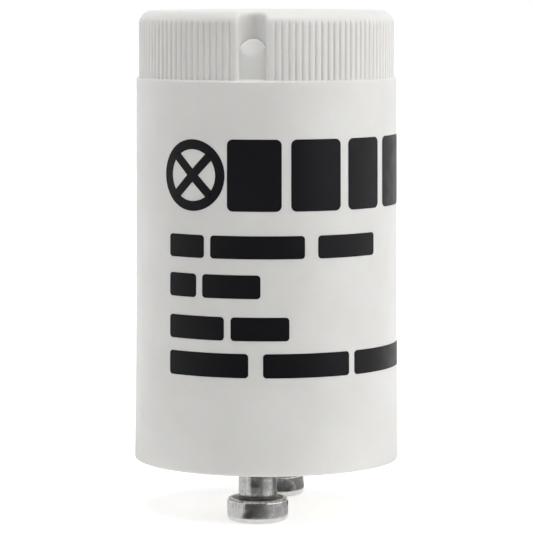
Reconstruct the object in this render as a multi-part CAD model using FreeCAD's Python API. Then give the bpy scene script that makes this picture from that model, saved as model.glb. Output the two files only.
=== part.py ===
"""Fluorescent starter: a glow switch and its capacitor in a ribbed plastic can.

All sizes are in millimetres. The origin is on the can's axis, in the plane of the
contact pins' feet, and +Z points up to the grip. The pins stand on the Y axis.
"""
import FreeCAD, Part
import math
import os

from FreeCAD import Vector

os.makedirs("parts", exist_ok=True)

# Contact pins
pin_spacing = 12.7
pin_head_radius = 2.43
pin_head_height = 1.82
pin_foot_chamfer = 0.28
pin_head_chamfer = 0.20
pin_neck_radius = 1.52
pin_neck_length = 2.70
pin_neck_cove = 0.28
pin_shank_radius = 1.15
pin_core_radius = 0.78
pin_core_floor = 0.90
rivet_radius = 1.90
rivet_height = 0.40

# Outside of the can
rim_radius = 10.70
rim_chamfer = 0.10
barrel_length = 30.86
barrel_draft = 0.275
skirt_flare = 0.097
skirt_bend_height = 7.0
shoulder_step = 0.195
shoulder_chamfer = 0.14
grip_length = 5.34
grip_round = 1.10

# Grip ribs and notches
rib_count = 53
rib_depth = 0.15
valley_width = 0.17
first_valley_angle = 10.0
notch_radius = 1.08
notch_depth = 1.20
notch_length = 2.10
notch_ramp_height = 1.30
notch_foot_recess = 0.26
notch_cove = 0.15

# Inside of the can
rim_recess = 0.42
pocket_wall = 0.85
grip_wall = 0.85
notch_back_wall = 0.80
roof_thickness = 1.20
snap_bead = 0.15
mouth_depth = 0.22

# Base disc
disc_thickness = 1.60
disc_clearance = 0.05

# Glow bulb
bulb_offset = 4.36
glass_wall = 0.60
bulb_side_clearance = 0.70
bulb_standoff = 4.90
bulb_headroom = 5.10
pinch_width = 6.60
pinch_thickness = 2.40
pinch_height = 4.00
pinch_corner = 0.70
neck_height = 3.50
glass_floor = 0.60
throat_width = 4.20
throat_thickness = 1.20
tip_base_radius = 1.30
tip_end_radius = 0.50
tip_height = 1.40

# Lead-in wires and electrodes
bulb_lead_radius = 0.25
bulb_lead_spacing = 2.60
bulb_lead_bend = 0.80
bulb_lead_rise = 1.50
lead_entry_drop = 1.00
lead_post_length = 3.00
electrode_radius = 0.35
electrode_headroom = 2.40
strip_width = 2.20
strip_thickness = 0.20
strip_headroom = 3.00
strip_weld_clearance = 0.10
strip_foot_drop = 1.50
strip_straight = 1.80
strip_gap = 0.80
strip_nose = 0.30

# Capacitor
capacitor_length = 9.60
capacitor_thickness = 4.40
capacitor_height = 8.00
capacitor_gap = 1.90
capacitor_standoff = 4.90
capacitor_wrap_thickness = 0.25
end_fill_depth = 1.20
capacitor_lead_radius = 0.25
capacitor_lead_bend = 1.10
capacitor_lead_reach = 1.85
capacitor_lead_rise = 1.70
capacitor_lead_grip = 0.70

# Solder
solder_radius = 1.35
solder_height = 0.60
solder_depth = 2.20
wire_end_clearance = 0.25
wire_offset = 0.36

# Counts of flats for a small rounding, the grip's top edge, a dome, a bend and a wire
round_flat_count = 2
top_flat_count = 3
dome_flat_count = 2
bend_flat_count = 3
wire_side_count = 8

# Heights above the pins' feet
disc_z = pin_head_height + pin_neck_length
rim_z = disc_z - rim_recess
ledge_z = disc_z + disc_thickness
shoulder_z = rim_z + barrel_length
top_z = shoulder_z + grip_length
roof_z = top_z - roof_thickness
notch_back_z = top_z - notch_length
notch_foot_z = notch_back_z - notch_ramp_height
rivet_z = ledge_z + rivet_height

# Radii that follow
draft_slope = math.tan(math.radians(barrel_draft))
shoulder_radius = rim_radius - skirt_flare - barrel_length * draft_slope
grip_radius = shoulder_radius - shoulder_step
pocket_radius = rim_radius - pocket_wall
disc_radius = pocket_radius - disc_clearance
cavity_radius = grip_radius - rib_depth - grip_wall
cavity_top_radius = grip_radius - notch_depth - notch_back_wall
pin_y = pin_spacing / 2

# Places inside the can
bulb_x = -bulb_offset
bulb_radius = cavity_radius - bulb_side_clearance - bulb_offset
pinch_z = ledge_z + bulb_standoff
pinch_top_z = pinch_z + pinch_height
glass_floor_z = pinch_top_z + glass_floor
tube_z = pinch_top_z + neck_height
bulb_top_z = roof_z - bulb_headroom
dome_z = bulb_top_z - tip_height - bulb_radius
bore_radius = bulb_radius - glass_wall
lead_y = bulb_lead_spacing / 2
lead_post_z = glass_floor_z + lead_post_length
wire_end_z = rivet_z - solder_depth + wire_end_clearance
capacitor_x = bulb_x + bulb_radius + capacitor_gap + capacitor_thickness / 2
capacitor_z = ledge_z + capacitor_standoff + capacitor_height / 2


def rounded_outline(corners, place):
    """A closed wire through corners of (across, up, round), with flats for the rounds."""
    points = []
    count = len(corners)
    for index in range(count):
        across, up, radius = corners[index]
        corner = Vector(across, up, 0)
        if radius == 0:
            points.append(place(corner))
            continue
        back = Vector(*corners[index - 1][:2], 0) - corner
        onward = Vector(*corners[(index + 1) % count][:2], 0) - corner
        points += [place(point) for point in eased(corner, back, onward, radius, round_flat_count)]
    return Part.makePolygon(points + [points[0]])


def eased(corner, back, onward, radius, flats):
    """Points along the tangent arc that eases a corner between two directions."""
    back.normalize()
    onward.normalize()
    half_angle = back.getAngle(onward) / 2
    reach = radius / math.tan(half_angle)
    inward = back + onward
    inward.normalize()
    centre = corner + inward * (radius / math.sin(half_angle))
    start = corner + back * reach - centre
    end = corner + onward * reach - centre
    turn = math.pi - 2 * half_angle
    points = []
    for step in range(flats + 1):
        part = step / flats
        blend = start * math.sin((1 - part) * turn) + end * math.sin(part * turn)
        points.append(centre + blend * (1 / math.sin(turn)))
    return points


def in_xz(point):
    """Set an outline's point in the XZ plane."""
    return Vector(point.x, 0, point.y)


def in_yz(point):
    """Set an outline's point in the YZ plane."""
    return Vector(0, point.x, point.y)


def turned(corners):
    """A solid of revolution about Z from corners of (radius, height, round)."""
    face = Part.Face(rounded_outline(corners, in_xz))
    return face.revolve(Vector(0, 0, 0), Vector(0, 0, 1), 360)


def dome(radius, centre_z, foot_radius=0):
    """Corners of a dome's outline, from its equator up to foot_radius from the axis."""
    last = math.acos(foot_radius / radius)
    return [(radius * math.cos(last * step / dome_flat_count),
             centre_z + radius * math.sin(last * step / dome_flat_count), 0)
            for step in range(dome_flat_count + 1)]


def moved(shape, x=0, y=0, z=0):
    """A copy of a shape, moved."""
    copy = shape.copy()
    copy.translate(Vector(x, y, z))
    return copy


def bent_wire(points, radius, bend):
    """A wire of many flats along straight runs, mitred in short steps round each bend."""
    path = [points[0]]
    for before, corner, after in zip(points, points[1:], points[2:]):
        path += eased(corner, before - corner, after - corner, bend, bend_flat_count)
    path.append(points[-1])
    runs = [(end - start).normalize() for start, end in zip(path, path[1:])]
    circle = Part.Circle(path[0], runs[0], radius)
    rings = [[circle.value(2 * math.pi * side / wire_side_count) for side in range(wire_side_count)]]
    for index, run in enumerate(runs):
        mitre = run + runs[min(index + 1, len(runs) - 1)]
        corner = path[index + 1]
        rings.append([point + run * ((corner - point).dot(mitre) / run.dot(mitre))
                      for point in rings[-1]])
    return shell_between(rings)


def barrel():
    """The drafted barrel with its flared skirt and eased rim and shoulder."""
    bend_z = rim_z + skirt_bend_height
    bend_radius = shoulder_radius + (shoulder_z - bend_z) * draft_slope
    return turned([
        (0, rim_z, 0),
        (rim_radius - rim_chamfer, rim_z, 0),
        (rim_radius, rim_z + rim_chamfer, 0),
        (bend_radius, bend_z, 0),
        (shoulder_radius, shoulder_z - shoulder_chamfer, 0),
        (shoulder_radius - shoulder_chamfer, shoulder_z, 0),
        (0, shoulder_z, 0),
    ])


def grip_stations():
    """Where the grip's flats meet round half a turn: (angle, run-out angle, is a valley)."""
    pitch = (180 - 2 * first_valley_angle) / rib_count
    half_valley = math.degrees(valley_width / 2 / grip_radius)
    stations = []
    for index in range(rib_count + 1):
        valley = first_valley_angle + index * pitch
        stations.append((valley - half_valley, valley, False))
        stations.append((valley, valley, True))
        stations.append((valley + half_valley, valley, False))
    land_start = 180 - first_valley_angle
    for step in (1, 2, 3):
        angle = land_start + 2 * first_valley_angle * step / 4
        stations.append((angle, angle, False))
    return stations


def grip():
    """The ribbed grip: flat-crowned ribs whose valleys run out in the rounded top edge."""
    floor_radius = grip_radius - rib_depth
    run_out = math.acos(1 - rib_depth / grip_round)
    half = grip_stations()
    stations = half + [(angle + 180, end + 180, valley) for angle, end, valley in half]

    def ring(radius, height, run_outs):
        points = []
        for angle, end, valley in stations:
            turn = math.radians(end if run_outs else angle)
            reach = floor_radius if valley else radius
            points.append(Vector(reach * math.sin(turn), reach * math.cos(turn), height))
        return points

    rings = [ring(grip_radius, shoulder_z, False)]
    edge_ring = ring(grip_radius, top_z - grip_round, False)
    top_rings = []
    for step in range(top_flat_count + 1):
        turn = run_out + (math.pi / 2 - run_out) * step / top_flat_count
        radius = grip_radius - grip_round + grip_round * math.cos(turn)
        height = top_z - grip_round + grip_round * math.sin(turn)
        share = radius / floor_radius
        points = ring(floor_radius, height, True)
        top_rings.append([Vector(p.x * share, p.y * share, height) for p in points])
    for index, station in enumerate(stations):
        if station[2]:
            edge_ring[index] = top_rings[0][index]
    rings += [edge_ring] + top_rings
    return shell_between(rings)


def shell_between(rings):
    """A solid from rings of points that match one to one, closed by its end rings."""
    faces = [Part.Face(Part.makePolygon(rings[0] + rings[0][:1]))]
    count = len(rings[0])
    for lower, upper in zip(rings, rings[1:]):
        for index in range(count):
            following = (index + 1) % count
            around = [lower[index], lower[following], upper[following], upper[index]]
            corners = []
            for point in around:
                if not any(point.distanceToPoint(other) < 1e-7 for other in corners):
                    corners.append(point)
            if len(corners) == 4:
                normal = (corners[1] - corners[0]).cross(corners[3] - corners[0])
                normal.normalize()
                if abs(normal.dot(corners[2] - corners[0])) < 1e-7:
                    faces.append(Part.Face(Part.makePolygon(corners + corners[:1])))
                else:
                    for third in ((0, 1, 2), (0, 2, 3)):
                        triangle = [corners[i] for i in third]
                        faces.append(Part.Face(Part.makePolygon(triangle + triangle[:1])))
            elif len(corners) == 3:
                faces.append(Part.Face(Part.makePolygon(corners + corners[:1])))
    top = []
    for point in rings[-1]:
        if not top or point.distanceToPoint(top[-1]) > 1e-7:
            top.append(point)
    faces.append(Part.Face(Part.makePolygon(top + top[:1])))
    return Part.Solid(Part.Shell(faces))


def notch_cutter():
    """A half-round groove at -Y, shallow below its ramp and open at the top."""
    groove_y = -(grip_radius - notch_depth + notch_radius)
    groove = Part.makeCylinder(notch_radius, grip_length + 1, Vector(0, groove_y, shoulder_z))
    foot_y = -(grip_radius - notch_foot_recess)
    back_y = -(grip_radius - notch_depth)
    ramp_slope = (back_y - foot_y) / notch_ramp_height
    above = notch_ramp_height
    outside_y = -(grip_radius + notch_radius)
    side = Part.Face(rounded_outline([
        (outside_y, shoulder_z, 0),
        (foot_y, shoulder_z, notch_cove),
        (foot_y, notch_foot_z, 0),
        (back_y + ramp_slope * above, notch_back_z + above, 0),
        (back_y + ramp_slope * above, top_z + 1, 0),
        (outside_y, top_z + 1, 0),
    ], in_yz))
    side.translate(Vector(-notch_radius - 1, 0, 0))
    return groove.common(side.extrude(Vector(2 * notch_radius + 2, 0, 0)))


def cavity():
    """The space inside the can, from the mouth and its snap bead up to the roof."""
    bead_radius = disc_radius - snap_bead
    bead_z = rim_z + mouth_depth
    step_z = notch_foot_z - notch_back_wall
    return turned([
        (0, rim_z - 1, 0),
        (pocket_radius, rim_z - 1, 0),
        (pocket_radius, rim_z, 0),
        (bead_radius, bead_z, 0),
        (pocket_radius, disc_z, 0),
        (pocket_radius, ledge_z, 0),
        (cavity_radius, ledge_z, 0),
        (cavity_radius, step_z, 0),
        (cavity_top_radius, step_z, 0),
        (cavity_top_radius, roof_z, 0),
        (0, roof_z, 0),
    ])


def housing_can():
    """The moulded can."""
    outside = barrel().fuse(grip())
    front = notch_cutter()
    rear = front.mirror(Vector(0, 0, 0), Vector(0, 1, 0))
    return outside.cut([front, rear, cavity()])


def contact_pin():
    """A headed pin with a neck, a shank through the disc and a riveted tubular tail."""
    return turned([
        (0, 0, 0),
        (pin_head_radius - pin_foot_chamfer, 0, 0),
        (pin_head_radius, pin_foot_chamfer, 0),
        (pin_head_radius, pin_head_height - pin_head_chamfer, 0),
        (pin_head_radius - pin_head_chamfer, pin_head_height, 0),
        (pin_neck_radius + pin_neck_cove, pin_head_height, 0),
        (pin_neck_radius, pin_head_height + pin_neck_cove, 0),
        (pin_neck_radius, disc_z, 0),
        (pin_shank_radius, disc_z, 0),
        (pin_shank_radius, ledge_z, 0),
        (rivet_radius, ledge_z, 0),
        (rivet_radius, rivet_z, 0),
        (pin_core_radius, rivet_z, 0),
        (pin_core_radius, pin_head_height + pin_core_floor, 0),
        (0, pin_head_height + pin_core_floor, 0),
    ])


def base_disc():
    """The insulating disc with a hole for each pin's shank."""
    disc = turned([
        (0, disc_z, 0),
        (disc_radius, disc_z, 0),
        (disc_radius, ledge_z, 0),
        (0, ledge_z, 0),
    ])
    hole = Part.makeCylinder(pin_shank_radius, disc_thickness, Vector(0, 0, disc_z))
    return disc.cut([moved(hole, y=-pin_y), moved(hole, y=pin_y)])


def bulb_lead(side):
    """A lead-in wire from a pin's tail, through the pinch, to its post in the bulb."""
    bend_up_z = pinch_z - lead_entry_drop
    return bent_wire([
        Vector(-wire_offset, side * pin_y, wire_end_z),
        Vector(-wire_offset, side * pin_y, rivet_z + bulb_lead_rise),
        Vector(bulb_x, side * lead_y, bend_up_z),
        Vector(bulb_x, side * lead_y, lead_post_z),
    ], bulb_lead_radius, bulb_lead_bend)


def capacitor_lead(side):
    """A capacitor wire, out of the end fill and down into a pin's tail."""
    end_y = capacitor_length / 2
    return bent_wire([
        Vector(wire_offset, side * pin_y, wire_end_z),
        Vector(wire_offset, side * pin_y, rivet_z + capacitor_lead_rise),
        Vector(capacitor_x, side * (end_y + capacitor_lead_reach), capacitor_z),
        Vector(capacitor_x, side * (end_y - capacitor_lead_grip), capacitor_z),
    ], capacitor_lead_radius, capacitor_lead_bend)


def solder_joint(side, wires):
    """Solder that fills a pin's core and mounds over its rivet, round both wires."""
    mound_radius = solder_radius / 2
    filled = turned([
        (0, rivet_z - solder_depth, 0),
        (pin_core_radius, rivet_z - solder_depth, 0),
        (pin_core_radius, rivet_z, 0),
        (solder_radius, rivet_z, 0),
        (mound_radius, rivet_z + solder_height, 0),
        (0, rivet_z + solder_height, 0),
    ])
    return moved(filled, y=side * pin_y).cut(wires)


def pressed_cone(base, half_thickness, half_width, height_z, radius):
    """A cone up to a tube's radius, pressed flat between two sloping jaws."""
    length = height_z - base
    cone = Part.makeCone(half_width, radius, length, Vector(0, 0, base))
    jaws = Part.Face(Part.makePolygon([
        Vector(-half_thickness, -2 * radius, base),
        Vector(half_thickness, -2 * radius, base),
        Vector(radius, -2 * radius, height_z),
        Vector(-radius, -2 * radius, height_z),
        Vector(-half_thickness, -2 * radius, base),
    ]))
    return cone.common(jaws.extrude(Vector(0, 4 * radius, 0)))


def bulb_envelope(leads):
    """The blown glass: flat pinch, pressed neck, tube, domed top and sealed tip."""
    half_x = pinch_thickness / 2
    half_y = pinch_width / 2
    section = rounded_outline([
        (-half_x, -half_y, pinch_corner),
        (half_x, -half_y, pinch_corner),
        (half_x, half_y, pinch_corner),
        (-half_x, half_y, pinch_corner),
    ], lambda point: Vector(point.x, point.y, pinch_z))
    pinch = Part.Face(section).extrude(Vector(0, 0, pinch_height))
    neck = pressed_cone(pinch_top_z, half_x, half_y, tube_z, bulb_radius)
    tube = turned([(0, tube_z, 0), (bulb_radius, tube_z, 0)]
                  + dome(bulb_radius, dome_z, tip_base_radius)
                  + [(tip_end_radius, bulb_top_z, 0), (0, bulb_top_z, 0)])
    throat = pressed_cone(glass_floor_z, throat_thickness / 2, throat_width / 2,
                          tube_z, bore_radius)
    bore = turned([(0, tube_z, 0), (bore_radius, tube_z, 0)] + dome(bore_radius, dome_z))
    glass = pinch.fuse([neck, tube]).cut(throat.fuse(bore))
    return moved(glass, x=bulb_x).cut(leads)


def fixed_electrode():
    """The rod that carries on from the rear lead's post."""
    end_z = dome_z + bore_radius - electrode_headroom
    return bent_wire([Vector(bulb_x, lead_y, lead_post_z), Vector(bulb_x, lead_y, end_z)],
                     electrode_radius, 0)


def bimetal_strip():
    """The strip beside the front post, leaning towards the rod, with a contact nose."""
    foot_y = -lead_y + bulb_lead_radius + strip_weld_clearance
    foot_z = lead_post_z - strip_foot_drop
    bend_z = foot_z + strip_straight
    tip_z = dome_z + bore_radius - strip_headroom
    nose_y = lead_y - electrode_radius - strip_gap
    nose_z = tip_z - strip_nose
    lean_y = nose_y - strip_nose - strip_thickness
    outline = rounded_outline([
        (foot_y, foot_z, 0),
        (foot_y + strip_thickness, foot_z, 0),
        (foot_y + strip_thickness, bend_z, strip_straight / 2),
        (lean_y + strip_thickness, nose_z - strip_nose, strip_nose / 2),
        (nose_y, nose_z, strip_nose / 2),
        (lean_y + strip_thickness, tip_z, 0),
        (lean_y, tip_z, 0),
        (nose_y - strip_thickness, nose_z, strip_nose / 2),
        (lean_y, nose_z - strip_nose, strip_nose / 2),
        (foot_y, bend_z, strip_straight / 2),
    ], in_yz)
    blade = Part.Face(outline).extrude(Vector(strip_width, 0, 0))
    return moved(blade, x=bulb_x - strip_width / 2)


def capacitor_block(inset, start_y, length):
    """A stretch of the capacitor's flattened round section along Y."""
    half_x = capacitor_thickness / 2 - inset
    half_z = capacitor_height / 2 - inset
    corners = [(-half_x, -half_z, half_x * 0.96), (half_x, -half_z, half_x * 0.96),
               (half_x, half_z, half_x * 0.96), (-half_x, half_z, half_x * 0.96)]
    section = Part.Face(rounded_outline(corners, in_xz)).extrude(Vector(0, length, 0))
    return moved(section, x=capacitor_x, y=start_y, z=capacitor_z)


def capacitor_winding():
    """The flattened roll of metallised film."""
    length = capacitor_length - 2 * end_fill_depth
    return capacitor_block(capacitor_wrap_thickness, -length / 2, length)


def capacitor_wrap():
    """The tape round the roll, open at both ends."""
    outer = capacitor_block(0, -capacitor_length / 2, capacitor_length)
    inner = capacitor_block(capacitor_wrap_thickness, -capacitor_length / 2, capacitor_length)
    return outer.cut(inner)


def capacitor_end_fill(side, lead):
    """The resin that pots one end of the roll inside the wrap, round its wire."""
    inner_y = capacitor_length / 2 - end_fill_depth
    start_y = inner_y if side > 0 else -capacitor_length / 2
    fill = capacitor_block(capacitor_wrap_thickness, start_y, end_fill_depth)
    return fill.cut(lead)


def main():
    """Build every piece and write one file for each."""
    pin = contact_pin()
    bulb_leads = {-1: bulb_lead(-1), 1: bulb_lead(1)}
    capacitor_leads = {-1: capacitor_lead(-1), 1: capacitor_lead(1)}
    pieces = {
        "housing_can": housing_can(),
        "base_disc": base_disc(),
        "bulb_envelope": bulb_envelope(list(bulb_leads.values())),
        "fixed_electrode": fixed_electrode(),
        "bimetal_strip": bimetal_strip(),
        "capacitor_winding": capacitor_winding(),
        "capacitor_wrap": capacitor_wrap(),
    }
    for place, side in (("front", -1), ("rear", 1)):
        wires = [bulb_leads[side], capacitor_leads[side]]
        pieces["contact_pin_" + place] = moved(pin, y=side * pin_y)
        pieces["solder_" + place] = solder_joint(side, wires)
        pieces["bulb_lead_" + place] = bulb_leads[side]
        pieces["capacitor_lead_" + place] = capacitor_leads[side]
        pieces["capacitor_end_fill_" + place] = capacitor_end_fill(side, capacitor_leads[side])
    for name, shape in pieces.items():
        print(name, "valid", shape.isValid(), "solids", len(shape.Solids),
              "volume", round(shape.Volume, 3))
        shape.exportStep("parts/" + name + ".step")


main()
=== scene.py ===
"""Fluorescent starter, dressed in Blender: a finer can, pins, disc, bulb, capacitor, solder
and wires, a printed face, procedural materials, and the studio.

Lengths are in millimetres up to the point where a mesh is made, and angles round the can
are in degrees from the front (-Y) towards +X.
"""

import math

import bmesh
import bpy
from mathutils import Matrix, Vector


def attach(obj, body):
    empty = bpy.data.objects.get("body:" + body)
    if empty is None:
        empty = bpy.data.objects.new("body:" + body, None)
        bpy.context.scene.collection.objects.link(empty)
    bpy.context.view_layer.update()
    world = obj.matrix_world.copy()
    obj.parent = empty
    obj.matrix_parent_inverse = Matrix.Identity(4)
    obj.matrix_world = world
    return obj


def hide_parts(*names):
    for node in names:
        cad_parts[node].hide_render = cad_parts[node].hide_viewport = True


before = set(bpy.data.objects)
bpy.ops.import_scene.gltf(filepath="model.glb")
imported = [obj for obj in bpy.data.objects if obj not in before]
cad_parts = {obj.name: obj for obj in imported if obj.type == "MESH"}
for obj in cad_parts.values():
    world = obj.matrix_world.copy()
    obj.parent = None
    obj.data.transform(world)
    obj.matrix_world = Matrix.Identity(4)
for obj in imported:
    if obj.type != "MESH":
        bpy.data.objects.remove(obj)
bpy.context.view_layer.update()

MM = 0.001

# Sizes in millimetres. Places and main sizes are those of the solids, and the notch,
# the lips and the small roundings are finer here.
PIN_Y = 6.35
PIN_HEAD_RADIUS = 2.43
PIN_HEAD_TOP = 1.82
PIN_NECK_RADIUS = 1.52
PIN_SHANK_RADIUS = 1.15
PIN_CORE_RADIUS = 0.78
PIN_CORE_FLOOR = 2.72
RIVET_RADIUS = 1.90
DISC_Z = 4.52
LEDGE_Z = 6.12
RIVET_Z = 6.52
RIM_Z = 4.10
RIM_RADIUS = 10.70
SHOULDER_Z = 34.96
TOP_Z = 40.30
DRAFT_SLOPE = 0.0048
SKIRT_BEND_Z = 11.10
SKIRT_BEND_REACH = 6.60
SHOULDER_RADIUS = 10.455
GRIP_RADIUS = 10.26
GRIP_ROUND = 1.10
RIM_ROUND = 0.22
SHOULDER_ROUND = 0.16
SHOULDER_COVE = 0.06
RIB_COUNT = 53
FIRST_VALLEY = 10.0
NOTCH_RADIUS = 1.08
NOTCH_CENTRE = 10.14
NOTCH_FOOT_Z = 36.90
NOTCH_DOME_Z = 38.20
NOTCH_DOME_ROUND = 1.30
NOTCH_DOME_EDGE = 0.14
NOTCH_SCOOP = 0.40
NOTCH_FOOT = 9.82
NOTCH_RAMP_TOP = 9.14
NOTCH_BACK = 8.68
NOTCH_TOP_ROUND = 0.30
GROOVE_SQUARENESS = 1.8
LIP_ROUND = 0.30
RAMP_EASE = 0.26
POCKET_RADIUS = 9.85
DISC_RADIUS = 9.80
BEAD_RADIUS = 9.65
BEAD_Z = 4.32
CAVITY_RADIUS = 9.26
CAVITY_STEP_Z = 36.10
CAVITY_TOP_RADIUS = 8.26
ROOF_Z = 39.10
ROOF_ROUND = 0.60
STEP_EASE = 0.15
BULB_X = -4.36
BULB_RADIUS = 4.20
BULB_BORE = 3.60
BULB_NECK_TOP_Z = 18.52
BULB_DOME_Z = 28.40
LEAD_Y = 1.30
LEAD_RADIUS = 0.25
LEAD_TOP_Z = 18.62
ROD_RADIUS = 0.35
ROD_TOP_Z = 29.60
CAPACITOR_LENGTH = 9.60
CAPACITOR_THICKNESS = 4.40
CAPACITOR_HEIGHT = 8.00
CAPACITOR_WALL = 0.25
CAPACITOR_FILL = 1.20
CAPACITOR_X = BULB_X + BULB_RADIUS + 1.90 + CAPACITOR_THICKNESS / 2
CAPACITOR_Z = LEDGE_Z + 4.90 + CAPACITOR_HEIGHT / 2

# How finely the notch is divided
GROOVE_STEPS = 22
LIP_STEPS = 5
LAND_STEPS = 5


def link_object(name, data):
    """An object for a mesh, a light or a camera, linked to the scene."""
    piece = bpy.data.objects.new(name, data)
    bpy.context.scene.collection.objects.link(piece)
    return piece


def new_mesh(name, points, faces):
    """A mesh from points in millimetres."""
    mesh = bpy.data.meshes.new(name)
    mesh.from_pydata([(x * MM, y * MM, z * MM) for x, y, z in points], [], faces)
    return mesh


def mesh_piece(name, points, faces, material, node=None, sharp=38, body="starter"):
    """A mesh piece of the starter, shaded smooth up to a crease angle in degrees."""
    mesh = new_mesh(name, points, faces)
    mesh.validate()
    work = bmesh.new()
    work.from_mesh(mesh)
    bmesh.ops.recalc_face_normals(work, faces=work.faces)
    work.to_mesh(mesh)
    work.free()
    mesh.shade_smooth()
    mesh.set_sharp_from_angle(angle=math.radians(sharp))
    mesh.materials.append(material)
    piece = link_object(name, mesh)
    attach(piece, body)
    if node:
        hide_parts(node)
    return piece


def skin(rings):
    """Points and faces of the closed shell through rings that match point to point.

    A ring of one point is a pole. A shell whose ends are not poles gets flat ends.
    """
    points = []
    starts = []
    for ring in rings:
        starts.append(len(points))
        points += ring
    faces = []
    for lower, upper, low, high in zip(rings, rings[1:], starts, starts[1:]):
        count = max(len(lower), len(upper))
        for index in range(count):
            following = (index + 1) % count
            if len(lower) == 1:
                faces.append((low, high + following, high + index))
            elif len(upper) == 1:
                faces.append((low + index, low + following, high))
            else:
                faces.append((low + index, low + following, high + following, high + index))
    for ring, start in ((rings[0], starts[0]), (rings[-1], starts[-1])):
        if len(ring) > 1:
            faces.append(tuple(range(start, start + len(ring))))
    return points, faces


def arc(centre, radius, start, end, steps):
    """Points (across, up) along an arc, angles in degrees."""
    points = []
    for step in range(steps + 1):
        turn = math.radians(start + (end - start) * step / steps)
        points.append((centre[0] + radius * math.cos(turn), centre[1] + radius * math.sin(turn)))
    return points


def bend_point(start, middle, end, share):
    """A point of the soft curve that these three control points pull."""
    return tuple((1 - share) ** 2 * a + 2 * share * (1 - share) * b + share ** 2 * c
                 for a, b, c in zip(start, middle, end))


def resample(points, count):
    """The same line as points spaced evenly along it."""
    if len(points) == 1:
        return points * count
    lengths = [0.0]
    for before, after in zip(points, points[1:]):
        lengths.append(lengths[-1] + math.dist(before, after))
    even = []
    for step in range(count):
        target = lengths[-1] * step / (count - 1)
        index = max(i for i, length in enumerate(lengths) if length <= target + 1e-9)
        index = min(index, len(points) - 2)
        span = lengths[index + 1] - lengths[index]
        share = (target - lengths[index]) / span if span > 1e-9 else 0.0
        even.append(tuple(a + share * (b - a) for a, b in zip(points[index], points[index + 1])))
    return even


def lathe_rings(profile, count, x=0.0, y=0.0):
    """Rings about a vertical axis from a profile of (radius, height)."""
    rings = []
    for radius, height in profile:
        if radius < 1e-6:
            rings.append([(x, y, height)])
            continue
        ring = []
        for index in range(count):
            turn = 2 * math.pi * index / count
            ring.append((x + radius * math.sin(turn), y - radius * math.cos(turn), height))
        rings.append(ring)
    return rings


# Materials

def new_material(name):
    """A material with nodes, and its Principled shader."""
    material = bpy.data.materials.new(name)
    material.use_nodes = True
    return material, material.node_tree.nodes["Principled BSDF"]


def link_noise(material, scale, detail=4.0, rough=0.55, stretch=None):
    """A noise texture in object space, stretched if asked, and its output socket."""
    nodes = material.node_tree.nodes
    links = material.node_tree.links
    place = nodes.new("ShaderNodeTexCoord")
    texture = nodes.new("ShaderNodeTexNoise")
    texture.inputs["Scale"].default_value = scale
    texture.inputs["Detail"].default_value = detail
    texture.inputs["Roughness"].default_value = rough
    source = place.outputs["Object"]
    if stretch:
        mapping = nodes.new("ShaderNodeMapping")
        mapping.inputs["Scale"].default_value = stretch
        links.new(source, mapping.inputs["Vector"])
        source = mapping.outputs["Vector"]
    links.new(source, texture.inputs["Vector"])
    return texture.outputs["Fac"]


def link_range(material, source, low, high, to_low, to_high):
    """Map a socket's values from one range to another, clamped."""
    node = material.node_tree.nodes.new("ShaderNodeMapRange")
    material.node_tree.links.new(source, node.inputs["Value"])
    node.inputs["From Min"].default_value = low
    node.inputs["From Max"].default_value = high
    node.inputs["To Min"].default_value = to_low
    node.inputs["To Max"].default_value = to_high
    return node.outputs["Result"]


def link_ramp(material, source, stops):
    """A colour ramp over a socket, from (position, colour) stops."""
    node = material.node_tree.nodes.new("ShaderNodeValToRGB")
    material.node_tree.links.new(source, node.inputs["Fac"])
    elements = node.color_ramp.elements
    while len(elements) < len(stops):
        elements.new(0.5)
    for element, (position, colour) in zip(elements, stops):
        element.position = position
        element.color = (*colour, 1.0)
    return node.outputs["Color"]


def link_mix(material, share, colour, other):
    """Blend a colour socket towards a plain colour by a socket's share."""
    node = material.node_tree.nodes.new("ShaderNodeMix")
    node.data_type = "RGBA"
    sockets = {socket.identifier: socket for socket in node.inputs}
    material.node_tree.links.new(share, sockets["Factor_Float"])
    material.node_tree.links.new(colour, sockets["A_Color"])
    sockets["B_Color"].default_value = (*other, 1.0)
    return next(out for out in node.outputs if out.identifier == "Result_Color")


def link_bumps(material, shader, layers):
    """Stack bumps of (socket, height in metres) on a shader's normal."""
    before = None
    for source, height in layers:
        bump = material.node_tree.nodes.new("ShaderNodeBump")
        bump.inputs["Strength"].default_value = 1.0
        bump.inputs["Distance"].default_value = height
        material.node_tree.links.new(source, bump.inputs["Height"])
        if before:
            material.node_tree.links.new(before, bump.inputs["Normal"])
        before = bump.outputs["Normal"]
    material.node_tree.links.new(before, shader.inputs["Normal"])


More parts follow.
